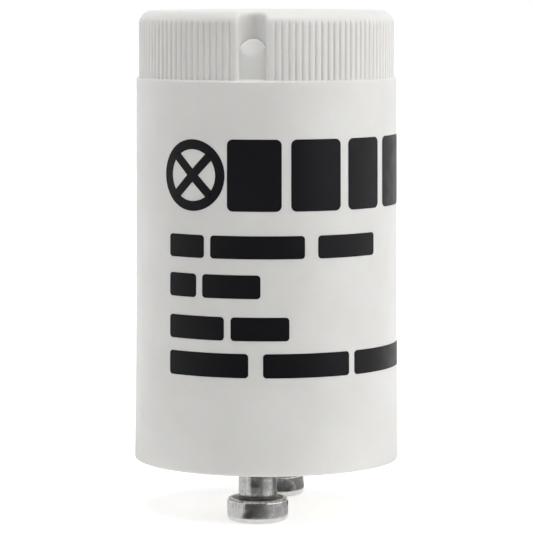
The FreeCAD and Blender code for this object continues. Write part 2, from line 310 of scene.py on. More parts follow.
def plastic(name, dark, light, roughness, grain=0.000004, specks=None, gloss=0.5, depth=0.0):
    """Moulded plastic: faint clouding, a fine grain, and a few specks if asked."""
    material, shader = new_material(name)
    links = material.node_tree.links
    cloud = link_noise(material, 170, 3.0)
    colour = link_ramp(material, cloud, [(0.35, dark), (0.65, light)])
    if specks:
        dots = link_noise(material, 1900, 2.0, 0.4)
        mask = link_range(material, dots, 0.82, 0.85, 0.0, 1.0)
        colour = link_mix(material, mask, colour, specks)
    links.new(colour, shader.inputs["Base Color"])
    wear = link_noise(material, 900, 5.0)
    rough = link_range(material, wear, 0.3, 0.7, roughness - 0.05, roughness + 0.06)
    links.new(rough, shader.inputs["Roughness"])
    fine = link_noise(material, 9000, 2.0)
    slow = link_noise(material, 420, 2.0)
    link_bumps(material, shader, [(slow, grain * 1.2), (fine, grain)])
    shader.inputs["IOR"].default_value = 1.49
    shader.inputs["Specular IOR Level"].default_value = gloss
    if depth:
        shader.inputs["Subsurface Weight"].default_value = 0.35
        shader.inputs["Subsurface Radius"].default_value = (1.0, 0.75, 0.45)
        shader.inputs["Subsurface Scale"].default_value = depth
    return material


def link_grime_and_shade(material, colour, stops):
    """Darken a colour in specks, by how much at each height from (millimetre, share) stops: grime
    and painted shade.
    """
    nodes = material.node_tree.nodes
    links = material.node_tree.links
    place = nodes.new("ShaderNodeTexCoord")
    axes = nodes.new("ShaderNodeSeparateXYZ")
    links.new(place.outputs["Object"], axes.inputs["Vector"])
    top = stops[-1][0]
    height = link_range(material, axes.outputs["Z"], 0.0, top * MM, 0.0, 1.0)
    share = link_ramp(material, height, [(up / top, (part,) * 3) for up, part in stops])
    specks = link_noise(material, 4200, 6.0, 0.7, (1.0, 1.0, 0.45))
    spots = link_range(material, specks, 0.44, 0.60, 0.0, 1.0)
    amount = nodes.new("ShaderNodeMath")
    amount.operation = "MULTIPLY"
    links.new(share, amount.inputs[0])
    links.new(spots, amount.inputs[1])
    return link_mix(material, amount.outputs[0], colour, (0.035, 0.032, 0.030))


def metal(name, dark, light, roughness, stretch, scale=2600, scratch=0.000006, grime_and_shade=None,
          metallic_share=1.0):
    """Dull metal: mottled colour and roughness, fine drawn or turned scratches, and grime with
    painted shade by height if asked. Metallic share sets Metallic; the dark copy that paints shade
    uses less."""
    material, shader = new_material(name)
    links = material.node_tree.links
    mottle = link_noise(material, 1300, 6.0, 0.6)
    colour = link_ramp(material, mottle, [(0.32, dark), (0.68, light)])
    if grime_and_shade:
        colour = link_grime_and_shade(material, colour, grime_and_shade)
    links.new(colour, shader.inputs["Base Color"])
    shader.inputs["Metallic"].default_value = metallic_share
    shader.inputs["Specular IOR Level"].default_value = 0.5 * metallic_share
    lines = link_noise(material, scale, 3.0, 0.6, stretch)
    pits = link_noise(material, 9500, 3.0, 0.6)
    rough = link_range(material, mottle, 0.3, 0.7, roughness - 0.07, roughness + 0.12)
    links.new(rough, shader.inputs["Roughness"])
    link_bumps(material, shader, [(pits, scratch * 0.35), (lines, scratch)])
    return material


def clear_glass():
    """Thin soda glass with faint waves."""
    material, shader = new_material("starter_glass")
    wave = link_noise(material, 260, 2.0)
    link_bumps(material, shader, [(wave, 0.00002)])
    tint = link_noise(material, 90, 1.0)
    material.node_tree.links.new(
        link_ramp(material, tint, [(0.3, (0.92, 0.96, 0.95)), (0.7, (0.96, 0.98, 0.97))]),
        shader.inputs["Base Color"])
    shader.inputs["Roughness"].default_value = 0.03
    shader.inputs["IOR"].default_value = 1.5
    shader.inputs["Transmission Weight"].default_value = 1.0
    return material


def film_winding():
    """The edge-on turns of a metallised film roll."""
    material, shader = new_material("starter_film")
    links = material.node_tree.links
    turns = link_noise(material, 900, 2.0, 0.5, (1.0, 0.02, 1.0))
    links.new(link_ramp(material, turns, [(0.35, (0.30, 0.30, 0.30)), (0.65, (0.66, 0.66, 0.64))]),
              shader.inputs["Base Color"])
    shader.inputs["Roughness"].default_value = 0.38
    shader.inputs["Metallic"].default_value = 0.4
    link_bumps(material, shader, [(turns, 0.00001)])
    return material


WHITE = plastic("starter_white_plastic", (0.745, 0.735, 0.710), (0.785, 0.778, 0.755), 0.40,
                specks=(0.42, 0.38, 0.33), depth=0.0004)
DISC = plastic("starter_disc_plastic", (0.70, 0.685, 0.64), (0.76, 0.745, 0.70), 0.48)
INK = plastic("starter_black_ink", (0.0022, 0.0022, 0.0036), (0.0040, 0.0038, 0.0058), 0.42,
              grain=0.000003, gloss=0.14)
# Grime and painted shade by height: darkest in the crease at the neck's foot and at the neck's top
# under the disc.
NICKEL = metal("starter_nickel", (0.62, 0.61, 0.595), (0.74, 0.73, 0.71), 0.18, (3.2, 3.2, 0.5),
               scale=3600, scratch=0.000008,
               grime_and_shade=[(0.0, 0.03), (1.0, 0.10), (1.50, 0.26), (1.72, 0.60),
                      (2.05, 0.95), (2.25, 0.26), (3.4, 0.24), (4.5, 0.80)])
# A dark copy of the nickel: painted shade on the head's top and round the neck's foot.
NICKEL_PAINTED_SHADE = metal("starter_nickel_painted_shade", (0.07, 0.07, 0.068), (0.19, 0.185, 0.178), 0.34,
                    (1.0, 1.0, 1.0), scratch=0.000012, metallic_share=0.45)
SOLDER = metal("starter_solder", (0.55, 0.56, 0.57), (0.70, 0.71, 0.72), 0.24, (1.0, 1.0, 1.0))
WIRE = metal("starter_wire", (0.50, 0.47, 0.43), (0.66, 0.63, 0.58), 0.30, (9.0, 9.0, 1.0))
BIMETAL = metal("starter_bimetal", (0.38, 0.36, 0.33), (0.52, 0.50, 0.46), 0.34,
                (6.0, 6.0, 1.0))
TAPE = plastic("starter_yellow_tape", (0.78, 0.58, 0.07), (0.86, 0.67, 0.13), 0.24)
RESIN = plastic("starter_resin", (0.66, 0.48, 0.12), (0.78, 0.60, 0.20), 0.36,
                grain=0.00001)
GLASS = clear_glass()
FILM = film_winding()


# The can

def rib_stations():
    """(angle, depth below the grip's radius) across one side's ribs, valley to valley."""
    pitch = (180 - 2 * FIRST_VALLEY) / RIB_COUNT
    valley = [(-0.15, 0.032), (-0.08, 0.084), (0.0, 0.115), (0.08, 0.084)]
    crown = [(0.15, 0.032), (0.27, 0.007), (0.50, 0.0), (0.73, 0.007)]
    stations = []
    for index in range(RIB_COUNT + 1):
        angle = FIRST_VALLEY + index * pitch
        last = index == RIB_COUNT
        shape = valley + ([(0.15, 0.032)] if last else crown)
        stations += [(angle + share * pitch, depth) for share, depth in shape]
    return stations


def grip_edge(height):
    """The grip's radius at a height, with the rounded top edge."""
    above = height - (TOP_Z - GRIP_ROUND)
    if above <= 0:
        return GRIP_RADIUS
    above = min(above, GRIP_ROUND)
    return GRIP_RADIUS - GRIP_ROUND + math.sqrt(GRIP_ROUND ** 2 - above ** 2)


def notch_floor(height, across):
    """How far out the notch's floor stands at a place: foot, ramp with a round top, back."""
    cove = 0.22
    low = height - SHOULDER_Z
    ease = 0.0
    if low < cove:
        ease = cove - math.sqrt(cove ** 2 - (cove - low) ** 2)
    slope = (NOTCH_FOOT - NOTCH_RAMP_TOP) / (NOTCH_DOME_Z - NOTCH_FOOT_Z)
    above = height - NOTCH_FOOT_Z
    face = NOTCH_FOOT + ease
    if above > RAMP_EASE:
        face -= slope * above
    elif above > -RAMP_EASE:
        face -= slope * (above + RAMP_EASE) ** 2 / (4 * RAMP_EASE)
    across = min(abs(across), NOTCH_RADIUS)
    scooped = max(0.0, min(1.0, (above + RAMP_EASE) / (3 * RAMP_EASE)))
    face += NOTCH_SCOOP * scooped * (across / NOTCH_RADIUS) ** 2
    face = min(face, NOTCH_FOOT + ease)
    drop = NOTCH_DOME_ROUND - math.sqrt(NOTCH_DOME_ROUND ** 2 - across ** 2)
    hold = (NOTCH_DOME_Z - drop - height) / NOTCH_DOME_EDGE
    hold = max(0.0, min(1.0, hold))
    return NOTCH_BACK + (face - NOTCH_BACK) * math.sqrt(hold)


RIBS = rib_stations()


def groove_point(turn):
    """A point (across, out) of the groove's squarish round, turn 0 at its back."""
    power = 2 / GROOVE_SQUARENESS
    across = NOTCH_RADIUS * math.sin(turn) ** power
    depth = NOTCH_CENTRE - NOTCH_BACK
    return across, NOTCH_CENTRE - depth * max(math.cos(turn), 0.0) ** power


def half_notch(height):
    """Points (across, out) from the notch's middle to the land's edge, towards +X."""
    edge = grip_edge(height)
    land_end = math.radians(RIBS[0][0])
    rise = max(0.0, height - (TOP_Z - NOTCH_TOP_ROUND))
    spread = NOTCH_TOP_ROUND - math.sqrt(NOTCH_TOP_ROUND ** 2 - min(rise, NOTCH_TOP_ROUND) ** 2)
    groove = [groove_point(math.pi / 2 * step / 60) for step in range(61)]
    groove = [(across * (1 + spread / NOTCH_RADIUS), out - spread) for across, out in groove]
    inside = [point for point in groove if math.hypot(*point) < edge - 1e-6]
    corner = inside[-1]
    lip = min(LIP_ROUND, 0.45 * corner[0])
    wall = edge * math.cos(math.asin(min(1.0, (corner[0] + 1e-6) / edge)))
    depth = wall - max(inside[0][1], notch_floor(height, 0.0) - spread)
    drop = min(lip, 0.8 * depth)
    lip_turn = math.asin(min(1.0, (corner[0] + lip) / edge))
    end = (edge * math.sin(lip_turn), edge * math.cos(lip_turn))
    kept = [point for point in inside if point[1] <= wall - drop + 1e-9]
    points = [(across, max(out, notch_floor(height, across) - spread))
              for across, out in resample(kept or inside[:1], GROOVE_STEPS)]
    start = points[-1]
    pull = (start[0] + 0.12 * (end[0] - start[0]), end[1] - 0.02 * (end[1] - start[1]))
    for step in range(1, LIP_STEPS + 2):
        points.append(bend_point(start, pull, end, step / (LIP_STEPS + 1)))
    for step in range(1, LAND_STEPS):
        turn = lip_turn + (land_end - lip_turn) * step / LAND_STEPS
        points.append((edge * math.sin(turn), edge * math.cos(turn)))
    return points


def grip_section(height, grow=0.0):
    """One ring round the grip at a height: two notches and two sides of ribs."""
    edge = grip_edge(height)
    half = half_notch(height)
    ribs = []
    for angle, depth in RIBS:
        radius = min(edge, GRIP_RADIUS - depth)
        turn = math.radians(angle)
        ribs.append((radius * math.sin(turn), radius * math.cos(turn)))
    left = [(-across, out) for across, out in reversed(half[1:])]
    quarter = left + half + ribs
    ring = [(across, -out) for across, out in quarter]
    ring += [(-across, out) for across, out in quarter]
    if grow:
        grown = []
        for across, out in ring:
            radius = math.hypot(across, out)
            share = min(radius + grow, SHOULDER_RADIUS - 0.15) / radius
            grown.append((across * share, out * share))
        ring = grown
    return [(across, out, height) for across, out in ring]


def skirt_curve():
    """Control points (radius, height) of the bend from the drafted barrel to the flare."""
    radius = SHOULDER_RADIUS + (SHOULDER_Z - SKIRT_BEND_Z) * DRAFT_SLOPE
    flare = (RIM_RADIUS - radius) / (SKIRT_BEND_Z - RIM_Z)
    return ((radius + flare * SKIRT_BEND_REACH, SKIRT_BEND_Z - SKIRT_BEND_REACH),
            (radius, SKIRT_BEND_Z),
            (radius - DRAFT_SLOPE * SKIRT_BEND_REACH, SKIRT_BEND_Z + SKIRT_BEND_REACH))


def can_radius(height):
    """The can's outside radius between its rim and its shoulder."""
    start, middle, end = skirt_curve()
    if height >= end[1]:
        return SHOULDER_RADIUS + (SHOULDER_Z - height) * DRAFT_SLOPE
    share = max(0.0, (height - start[1]) / (end[1] - start[1]))
    return bend_point(start, middle, end, share)[0]


def can_rings():
    """The can's rings, from the roof's middle inside, out over the rim and up the grip."""
    guide = grip_section(SHOULDER_Z)
    turns = [math.atan2(x, -y) for x, y, z in guide]

    def ring(radius, height):
        """A round ring whose points stand at the grip's turns."""
        return [(radius * math.sin(turn), -radius * math.cos(turn), height) for turn in turns]

    profile = arc((CAVITY_TOP_RADIUS - ROOF_ROUND, ROOF_Z - ROOF_ROUND), ROOF_ROUND, 90, 0, 4)
    profile += [(CAVITY_TOP_RADIUS, CAVITY_STEP_Z + STEP_EASE),
                (CAVITY_TOP_RADIUS + STEP_EASE, CAVITY_STEP_Z),
                (CAVITY_RADIUS - STEP_EASE, CAVITY_STEP_Z),
                (CAVITY_RADIUS, CAVITY_STEP_Z - STEP_EASE),
                (CAVITY_RADIUS, LEDGE_Z), (POCKET_RADIUS, LEDGE_Z), (POCKET_RADIUS, DISC_Z)]
    profile += arc((POCKET_RADIUS + 0.02, BEAD_Z), POCKET_RADIUS + 0.02 - BEAD_RADIUS, 150, 215, 4)
    profile += [(POCKET_RADIUS + 0.03, RIM_Z + 0.06), (POCKET_RADIUS + 0.09, RIM_Z)]
    profile += arc((RIM_RADIUS - RIM_ROUND, RIM_Z + RIM_ROUND), RIM_ROUND, -90, 0, 6)
    profile += [bend_point(*skirt_curve(), step / 8) for step in range(9)]
    profile += [(can_radius(height), height) for height in (23.0, 28.5)]
    profile += arc((SHOULDER_RADIUS - SHOULDER_ROUND, SHOULDER_Z - SHOULDER_ROUND),
                   SHOULDER_ROUND, 0, 90, 6)
    rings = [[(0.0, 0.0, ROOF_Z)]] + [ring(radius, height) for radius, height in profile]
    for share in (0.0, 0.3, 1.0):
        height = SHOULDER_Z + SHOULDER_COVE * share
        section = grip_section(max(height, SHOULDER_Z + 0.001), SHOULDER_COVE * (1 - share) ** 2)
        rings.append([(x, y, height) for x, y, z in section])
    heights = [SHOULDER_Z + rise for rise in (0.12, 0.18, 0.24, 0.7, 1.3)]
    heights += [NOTCH_FOOT_Z + RAMP_EASE * step / 3 for step in range(-3, 3)]
    dome_drop = 0.62
    dome_side = NOTCH_DOME_Z - dome_drop
    ramp = dome_side - NOTCH_FOOT_Z - RAMP_EASE
    heights += [NOTCH_FOOT_Z + RAMP_EASE + ramp * step / 3 for step in range(3)]
    heights += [dome_side + dome_drop * step / 15 for step in range(16)]
    heights += [NOTCH_DOME_Z + 0.4]
    for step in range(15):
        turn = math.radians(90 * step / 14)
        heights.append(TOP_Z - GRIP_ROUND + GRIP_ROUND * math.sin(turn))
    rings += [grip_section(height) for height in heights]
    last = rings[-1]
    for radius, height in ((7.0, TOP_Z), (3.0, TOP_Z), (1.15, TOP_Z), (1.0, TOP_Z - 0.10),
                           (0.35, TOP_Z - 0.12), (0.28, TOP_Z - 0.05)):
        share = [radius / math.hypot(x, y) for x, y, z in last]
        rings.append([(x * part, y * part, height) for (x, y, z), part in zip(last, share)])
    rings.append([(0.0, 0.0, TOP_Z - 0.04)])
    return rings


def build_can():
    """The moulded can, which stands for the coarser solid."""
    points, faces = skin(can_rings())
    return mesh_piece("starter_can", points, faces, WHITE, "housing_can",
                      sharp=50)


# Pins, disc, bulb, capacitor, solder and wires

def build_pin(name, node, y):
    """A turned contact pin with a rolled rivet tail, and painted shade round its neck's foot."""
    head = PIN_HEAD_RADIUS
    top = PIN_HEAD_TOP
    foot = 0.38
    fillet = 0.28
    margin = 0.40
    profile = [(0.0, 0.0), (head - foot - 0.5, 0.0)]
    profile += arc((head - foot, foot), foot, -90, 0, 8)
    profile += [(head, foot + 0.05), (head, 0.9), (head, top - 0.24), (head, top - 0.20)]
    profile += [(head - 0.02, top - 0.16), (head - 0.10, top - 0.05), (head - 0.13, top - 0.02)]
    profile += [(head - 0.18, top), (head - 0.22, top), (head - margin, top)]
    root = PIN_NECK_RADIUS + fillet
    profile += [(root + 0.06, top)]
    profile += arc((root, top + fillet), fillet, -90, -180, 6)
    profile += [(PIN_NECK_RADIUS, 3.0), (PIN_NECK_RADIUS, DISC_Z), (PIN_SHANK_RADIUS, DISC_Z),
                (PIN_SHANK_RADIUS, LEDGE_Z), (RIVET_RADIUS - 0.05, LEDGE_Z)]
    profile += arc((RIVET_RADIUS - 0.15, RIVET_Z - 0.15), 0.15, 0, 90, 4)
    profile += [(PIN_CORE_RADIUS, RIVET_Z), (PIN_CORE_RADIUS, PIN_CORE_FLOOR),
                (0.0, PIN_CORE_FLOOR)]
    points, faces = skin(lathe_rings(profile, 96, 0.0, y))
    piece = mesh_piece(name, points, faces, NICKEL, node, sharp=32)
    # Painted shade: faces on the head's top and round the neck's foot take the dark nickel copy.
    piece.data.materials.append(NICKEL_PAINTED_SHADE)
    for face in piece.data.polygons:
        reach = math.hypot(face.center.x, face.center.y - y * MM) / MM
        rise = face.center.z / MM - top
        if -0.01 < rise < fillet - 0.02 and PIN_NECK_RADIUS < reach < head - margin + 0.05:
            face.material_index = 1
    return piece


def build_disc():
    """The base disc: eased edges, a shallow moulded groove, a gate mark, two holes."""
    profile = [(0.0, DISC_Z + 0.06), (0.35, DISC_Z + 0.06), (0.42, DISC_Z), (0.55, DISC_Z),
               (8.55, DISC_Z), (8.62, DISC_Z + 0.10), (8.98, DISC_Z + 0.10), (9.05, DISC_Z)]
    profile += arc((DISC_RADIUS - 0.12, DISC_Z + 0.12), 0.12, -90, 0, 4)
    profile += [(DISC_RADIUS, LEDGE_Z - 0.05), (DISC_RADIUS - 0.05, LEDGE_Z), (0.0, LEDGE_Z)]
    points, faces = skin(lathe_rings(profile, 144))
    piece = mesh_piece("starter_disc", points, faces, DISC, "base_disc",
                       sharp=30)
    drills = []
    hole = PIN_SHANK_RADIUS + 0.01
    span = [(0.0, DISC_Z - 1), (hole, DISC_Z - 1), (hole, LEDGE_Z + 1), (0.0, LEDGE_Z + 1)]
    for side in (-1, 1):
        drill_points, drill_faces = skin(lathe_rings(span, 48, 0.0, side * PIN_Y))
        drill = link_object("drill", new_mesh("drill", drill_points, drill_faces))
        cut = piece.modifiers.new("drill", "BOOLEAN")
        cut.object = drill
        cut.solver = "EXACT"
        drills.append(drill)
    graph = bpy.context.evaluated_depsgraph_get()
    drilled = bpy.data.meshes.new_from_object(piece.evaluated_get(graph))
    piece.modifiers.clear()
    piece.data = drilled
    for drill in drills:
        bpy.data.objects.remove(drill)
    return piece


def rounded_ring(half_x, half_y, corner, height, count=96):
    """A rounded rectangle about the bulb's axis, sampled by direction."""
    ring = []
    for index in range(count):
        turn = 2 * math.pi * index / count
        across = math.sin(turn)
        along = -math.cos(turn)
        power = 2.0 + 6.0 * (1.0 - min(1.0, corner))
        size = (abs(across / half_x) ** power + abs(along / half_y) ** power) ** (-1 / power)
        ring.append((BULB_X + across * size, along * size, height))
    return ring


def neck_rings(foot, radius, first, count):
    """Rings of the bulb's neck, from its foot's ring up to the tube's, from a first step on."""
    rings = []
    for step in range(first, count + 1):
        share = step / count
        ease = share * share * (3 - 2 * share)
        half_x, half_y, corner = (low + (high - low) * ease
                                  for low, high in zip(foot, (radius, radius, 1.0)))
        height = foot[3] + (BULB_NECK_TOP_Z - foot[3]) * share
        rings.append(rounded_ring(half_x, half_y, corner, height))
    return rings


def dome_rings(radius, count):
    """Rings of the bulb's dome, nine degrees apart from the tube's end."""
    rings = []
    for step in range(count + 1):
        turn = math.radians(9 * step)
        across = radius * math.cos(turn)
        rings.append(rounded_ring(across, across, 1.0, BULB_DOME_Z + radius * math.sin(turn)))
    return rings


def build_bulb():
    """The blown glass: flat pinch, neck, tube, dome and sealed tip, hollow inside."""
    outer = [rounded_ring(0.9, 3.0, 0.4, 11.02), rounded_ring(1.15, 3.25, 0.4, 11.10),
             rounded_ring(1.2, 3.3, 0.4, 11.4), rounded_ring(1.2, 3.3, 0.4, 15.0)]
    outer += neck_rings((1.2, 3.3, 0.4, 15.02), BULB_RADIUS, 1, 10)
    outer += dome_rings(BULB_RADIUS, 8)
    tip = ((1.02, 32.62), (0.85, 32.95), (0.72, 33.35), (0.56, 33.7), (0.34, 33.93))
    outer += [rounded_ring(radius, radius, 1.0, height) for radius, height in tip]
    outer.append([(BULB_X, 0.0, 34.0)])
    inner = [[(BULB_X, 0.0, 15.62)], rounded_ring(0.5, 1.9, 0.5, 15.64)]
    inner += neck_rings((0.6, 2.1, 0.5, 15.80), BULB_BORE, 0, 8)
    inner += dome_rings(BULB_BORE, 9)
    inner.append([(BULB_X, 0.0, BULB_DOME_Z + BULB_BORE)])
    points, faces = skin(outer)
    inner_points, inner_faces = skin(inner)
    shift = len(points)
    points += inner_points
    faces += [tuple(reversed([index + shift for index in face])) for face in inner_faces]
    return mesh_piece("starter_bulb", points, faces, GLASS, "bulb_envelope",
                      sharp=60)


def smooth_path(corners, bend, steps=8):
    """Points along straight runs whose corners are eased by arcs."""
    path = [Vector(corners[0])]
    for before, corner, after in zip(corners, corners[1:], corners[2:]):
        corner = Vector(corner)
        back = (Vector(before) - corner).normalized()
        onward = (Vector(after) - corner).normalized()
        half_angle = back.angle(onward) / 2
        reach = bend / math.tan(half_angle)
        centre = corner + (back + onward).normalized() * (bend / math.sin(half_angle))
        start = corner + back * reach - centre
        end = corner + onward * reach - centre
        turn = math.pi - 2 * half_angle
        for step in range(steps + 1):
            share = step / steps
            path.append(centre + (start * math.sin((1 - share) * turn)
                                  + end * math.sin(share * turn)) / math.sin(turn))
    path.append(Vector(corners[-1]))
    return path


def build_wire(name, node, corners, radius, bend):
    """A round wire along a path, with the ends eased."""
    path = smooth_path(corners, bend)
    sides = 20
    ease = radius * 0.15
    runs = [(end - start).normalized() for start, end in zip(path, path[1:])]
    across = runs[0].orthogonal().normalized()
    along = runs[0].cross(across)
    ring = []
    for side in range(sides):
        turn = 2 * math.pi * side / sides
        ring.append(path[0] + (across * math.cos(turn) + along * math.sin(turn)) * radius)
    rings = [[path[0]], [path[0] + (point - path[0]) * 0.85 for point in ring]]
    rings.append([point + runs[0] * ease for point in ring])
    for index, run in enumerate(runs):
        mitre = run + runs[min(index + 1, len(runs) - 1)]
        corner = path[index + 1]
        last = index == len(runs) - 1
        target = corner - run * ease if last else corner
        rings.append([point + run * ((target - point).dot(mitre) / run.dot(mitre))
                      for point in rings[-1]])
    end = path[-1]
    rings.append([end + (point + runs[-1] * ease - end) * 0.85 for point in rings[-1]])
    rings.append([end])
    points, faces = skin([[tuple(point) for point in ring] for ring in rings])
    return mesh_piece(name, points, faces, WIRE, node, sharp=50)


def capacitor_ring(inset, y, count=72):
    """The capacitor's flattened round section at a place along its length."""
    half_x = CAPACITOR_THICKNESS / 2 - inset
    straight = CAPACITOR_HEIGHT / 2 - inset - half_x
    ring = []
    for index in range(count):
        turn = 2 * math.pi * (index + 0.5) / count
        lift = math.copysign(straight, math.cos(turn))
        ring.append((CAPACITOR_X + half_x * math.sin(turn), y,
                     CAPACITOR_Z + lift + half_x * math.cos(turn)))
    return ring


def build_capacitor():
    """The wrapped film roll, with the wrap's turned-in ends and sunken, bulging resin."""
    end = CAPACITOR_LENGTH / 2
    wall = CAPACITOR_WALL
    lip = [(wall, 0.12), (wall - 0.04, 0.02), (wall / 2, 0.0), (0.04, 0.03), (0.0, 0.12)]
    rings = [capacitor_ring(inset, back - end) for inset, back in lip]
    rings += [capacitor_ring(inset, end - back) for inset, back in reversed(lip)]
    points, faces = skin(rings)
    faces = faces[:-2]
    count = len(rings[0])
    last = (len(rings) - 1) * count
    faces += [(last + i, last + (i + 1) % count, (i + 1) % count, i) for i in range(count)]
    mesh_piece("starter_capacitor_wrap", points, faces, TAPE, "capacitor_wrap",
               sharp=50)
    fill = end - CAPACITOR_FILL
    rings = [capacitor_ring(wall, -fill), capacitor_ring(wall, fill)]
    points, faces = skin(rings)
    mesh_piece("starter_capacitor_winding", points, faces, FILM, "capacitor_winding")
    for place, side in (("front", -1), ("rear", 1)):
        rings = [capacitor_ring(wall, side * fill), capacitor_ring(wall, side * (end - 0.16))]
        for step in range(1, 9):
            share = step / 8
            swell = 0.12 * math.sin(math.pi * share)
            rings.append(capacitor_ring(wall + 1.55 * share, side * (end - 0.16 + swell)))
        rings.append(capacitor_ring(wall + 1.70, side * (end - 0.17)))
        points, faces = skin(rings)
        mesh_piece("starter_capacitor_resin_" + place, points, faces, RESIN,
                   "capacitor_end_fill_" + place, sharp=50)


def build_solder():
    """The solder in each pin's tail, drawn up in a soft cone round its two wires."""
    for place, side in (("front", -1), ("rear", 1)):
        profile = [(0.0, PIN_CORE_FLOOR + 1.60), (PIN_CORE_RADIUS, PIN_CORE_FLOOR + 1.60),
                   (PIN_CORE_RADIUS, RIVET_Z), (1.35, RIVET_Z), (1.33, RIVET_Z + 0.05),
                   (1.16, RIVET_Z + 0.16), (0.96, RIVET_Z + 0.30), (0.80, RIVET_Z + 0.43),
                   (0.66, RIVET_Z + 0.53), (0.45, RIVET_Z + 0.59), (0.0, RIVET_Z + 0.60)]
        points, faces = skin(lathe_rings(profile, 48, 0.0, side * PIN_Y))
        mesh_piece("starter_solder_" + place, points, faces, SOLDER,
                   "solder_" + place, sharp=50)


def build_wires():
    """Lead-in wires, capacitor wires and the fixed electrode's rod."""
    for place, side in (("front", -1), ("rear", 1)):
        build_wire("starter_bulb_wire_" + place, "bulb_lead_" + place, [
            (-0.36, side * PIN_Y, 4.57), (-0.36, side * PIN_Y, RIVET_Z + 1.50),
            (BULB_X, side * LEAD_Y, 10.02), (BULB_X, side * LEAD_Y, LEAD_TOP_Z)],
            LEAD_RADIUS, 0.80)
        build_wire("starter_capacitor_wire_" + place, "capacitor_lead_" + place, [
            (0.36, side * PIN_Y, 4.57), (0.36, side * PIN_Y, RIVET_Z + 1.70),
            (CAPACITOR_X, side * 6.65, CAPACITOR_Z), (CAPACITOR_X, side * 4.10, CAPACITOR_Z)],
            LEAD_RADIUS, 1.10)
    rod = [(0.0, LEAD_TOP_Z), (ROD_RADIUS, LEAD_TOP_Z), (ROD_RADIUS, ROD_TOP_Z - 0.3)]
    rod += arc((ROD_RADIUS - 0.2, ROD_TOP_Z - 0.2), 0.2, 0, 90, 5) + [(0.0, ROD_TOP_Z)]
    points, faces = skin(lathe_rings(rod, 32, BULB_X, LEAD_Y))
    mesh_piece("starter_fixed_rod", points, faces, WIRE, "fixed_electrode",
               sharp=50)


# The print, as generic shapes of ink

PRINT_RADIUS = 10.51
INK_PROUD = 0.015
INK_ROOT = 0.02


def ink_patch(name, outline, holes=()):
    """A thin film of ink on the can from outlines of (arc length, height)."""
    flat = bpy.data.curves.new(name + "_outline", "CURVE")
    flat.dimensions = "2D"
    flat.fill_mode = "BOTH"
    for loop in (outline,) + tuple(holes):
        spline = flat.splines.new("POLY")
        spline.points.add(len(loop) - 1)
        for point, (along, height) in zip(spline.points, loop):
            point.co = (along, height, 0.0, 1.0)
        spline.use_cyclic_u = True
    helper = link_object(name + "_outline", flat)
    sheet = bpy.data.meshes.new_from_object(helper)
    bpy.data.objects.remove(helper)
    bpy.data.curves.remove(flat)
    work = bmesh.new()
    work.from_mesh(sheet)
    bmesh.ops.remove_doubles(work, verts=work.verts, dist=1e-5)
    low = min(vert.co.x for vert in work.verts)
    high = max(vert.co.x for vert in work.verts)
    step = 0.35
    cut = math.floor(low / step) * step + step
    while cut < high:
        bmesh.ops.bisect_plane(work, geom=work.verts[:] + work.edges[:] + work.faces[:],
                               plane_co=(cut, 0, 0), plane_no=(1, 0, 0), dist=1e-6)
        cut += step
    bmesh.ops.triangulate(work, faces=work.faces)
    points = [tuple(vert.co[:2]) for vert in work.verts]
    work.verts.index_update()
    faces = [tuple(vert.index for vert in face.verts) for face in work.faces]
    rim = []
    for edge in work.edges:
        if len(edge.link_faces) == 1:
            loop = edge.link_loops[0]
            rim.append((loop.vert.index, loop.link_loop_next.vert.index))
    work.free()
    bpy.data.meshes.remove(sheet)
    count = len(points)
    solid = []
    for rise in (INK_PROUD, -INK_ROOT):
        for along, height in points:
            turn = along / PRINT_RADIUS
            radius = can_radius(height) + rise
            solid.append((radius * math.sin(turn), -radius * math.cos(turn), height))
    walls = [(second, first, first + count, second + count) for first, second in rim]
    backs = [tuple(index + count for index in reversed(face)) for face in faces]
    return mesh_piece(name, solid, faces + backs + walls, INK, sharp=30)


def bar(left, right, low, high, corner):
    """A rounded bar's outline."""
    steps = 5
    outline = []
    corners = ((right, low, -90), (right, high, 0), (left, high, 90), (left, low, 180))
    for across, up, start in corners:
        centre = (across - math.copysign(corner, across - (left + right) / 2),
                  up - math.copysign(corner, up - (low + high) / 2))
        outline += arc(centre, corner, start, start + 90, steps)
    return outline


def build_print():
    """A lamp symbol, a row of bold blocks and four lines of bars where the print stands."""
    centre = (-4.95, 27.6)
    ring_radius = 2.80
    ring_bore = 2.02
    outer = arc(centre, ring_radius, 0, 360, 72)[:-1]
    inner = arc(centre, ring_bore, 0, 360, 72)[:-1]
    ink_patch("starter_print_ring", outer, [inner])
    cross = []
    half = 0.36
    end = math.sqrt(2.35 ** 2 - half ** 2)
    for turn in (45, 135, 225, 315):
        side = Vector((math.cos(math.radians(turn)), math.sin(math.radians(turn))))
        across = Vector((-side.y, side.x))
        inward = Vector(centre) + (side - across) * half
        cross.append(tuple(inward))
        for shift in (-half, half):
            cross.append(tuple(Vector(centre) + side * end + across * shift))
    ink_patch("starter_print_cross", cross)
    left = -1.95
    gap = 0.75
    for index, width in enumerate((4.3, 4.2, 3.5, 4.3, 4.4)):
        ink_patch("starter_print_block_%d" % (index + 1),
                  bar(left, left + width, 24.85, 30.45, corner=0.45))
        left += width + gap
    lines = [
        (21.15, 22.95, [(-7.25, -3.9), (-3.35, 4.2), (5.3, 10.95)]),
        (18.05, 19.9, [(-7.25, -4.6), (-4.05, 0.7)]),
        (14.75, 16.6, [(-7.25, -2.2), (-1.65, 2.95)]),
        (11.85, 13.75, [(-7.25, -0.25), (0.9, 8.1), (8.65, 17.1)]),
    ]
    for row, (low, high, words) in enumerate(lines):
        for column, (start, end) in enumerate(words):
            ink_patch("starter_print_line_%d_%d" % (row + 1, column + 1),
                      bar(start, end, low, high, corner=0.28))


# The studio

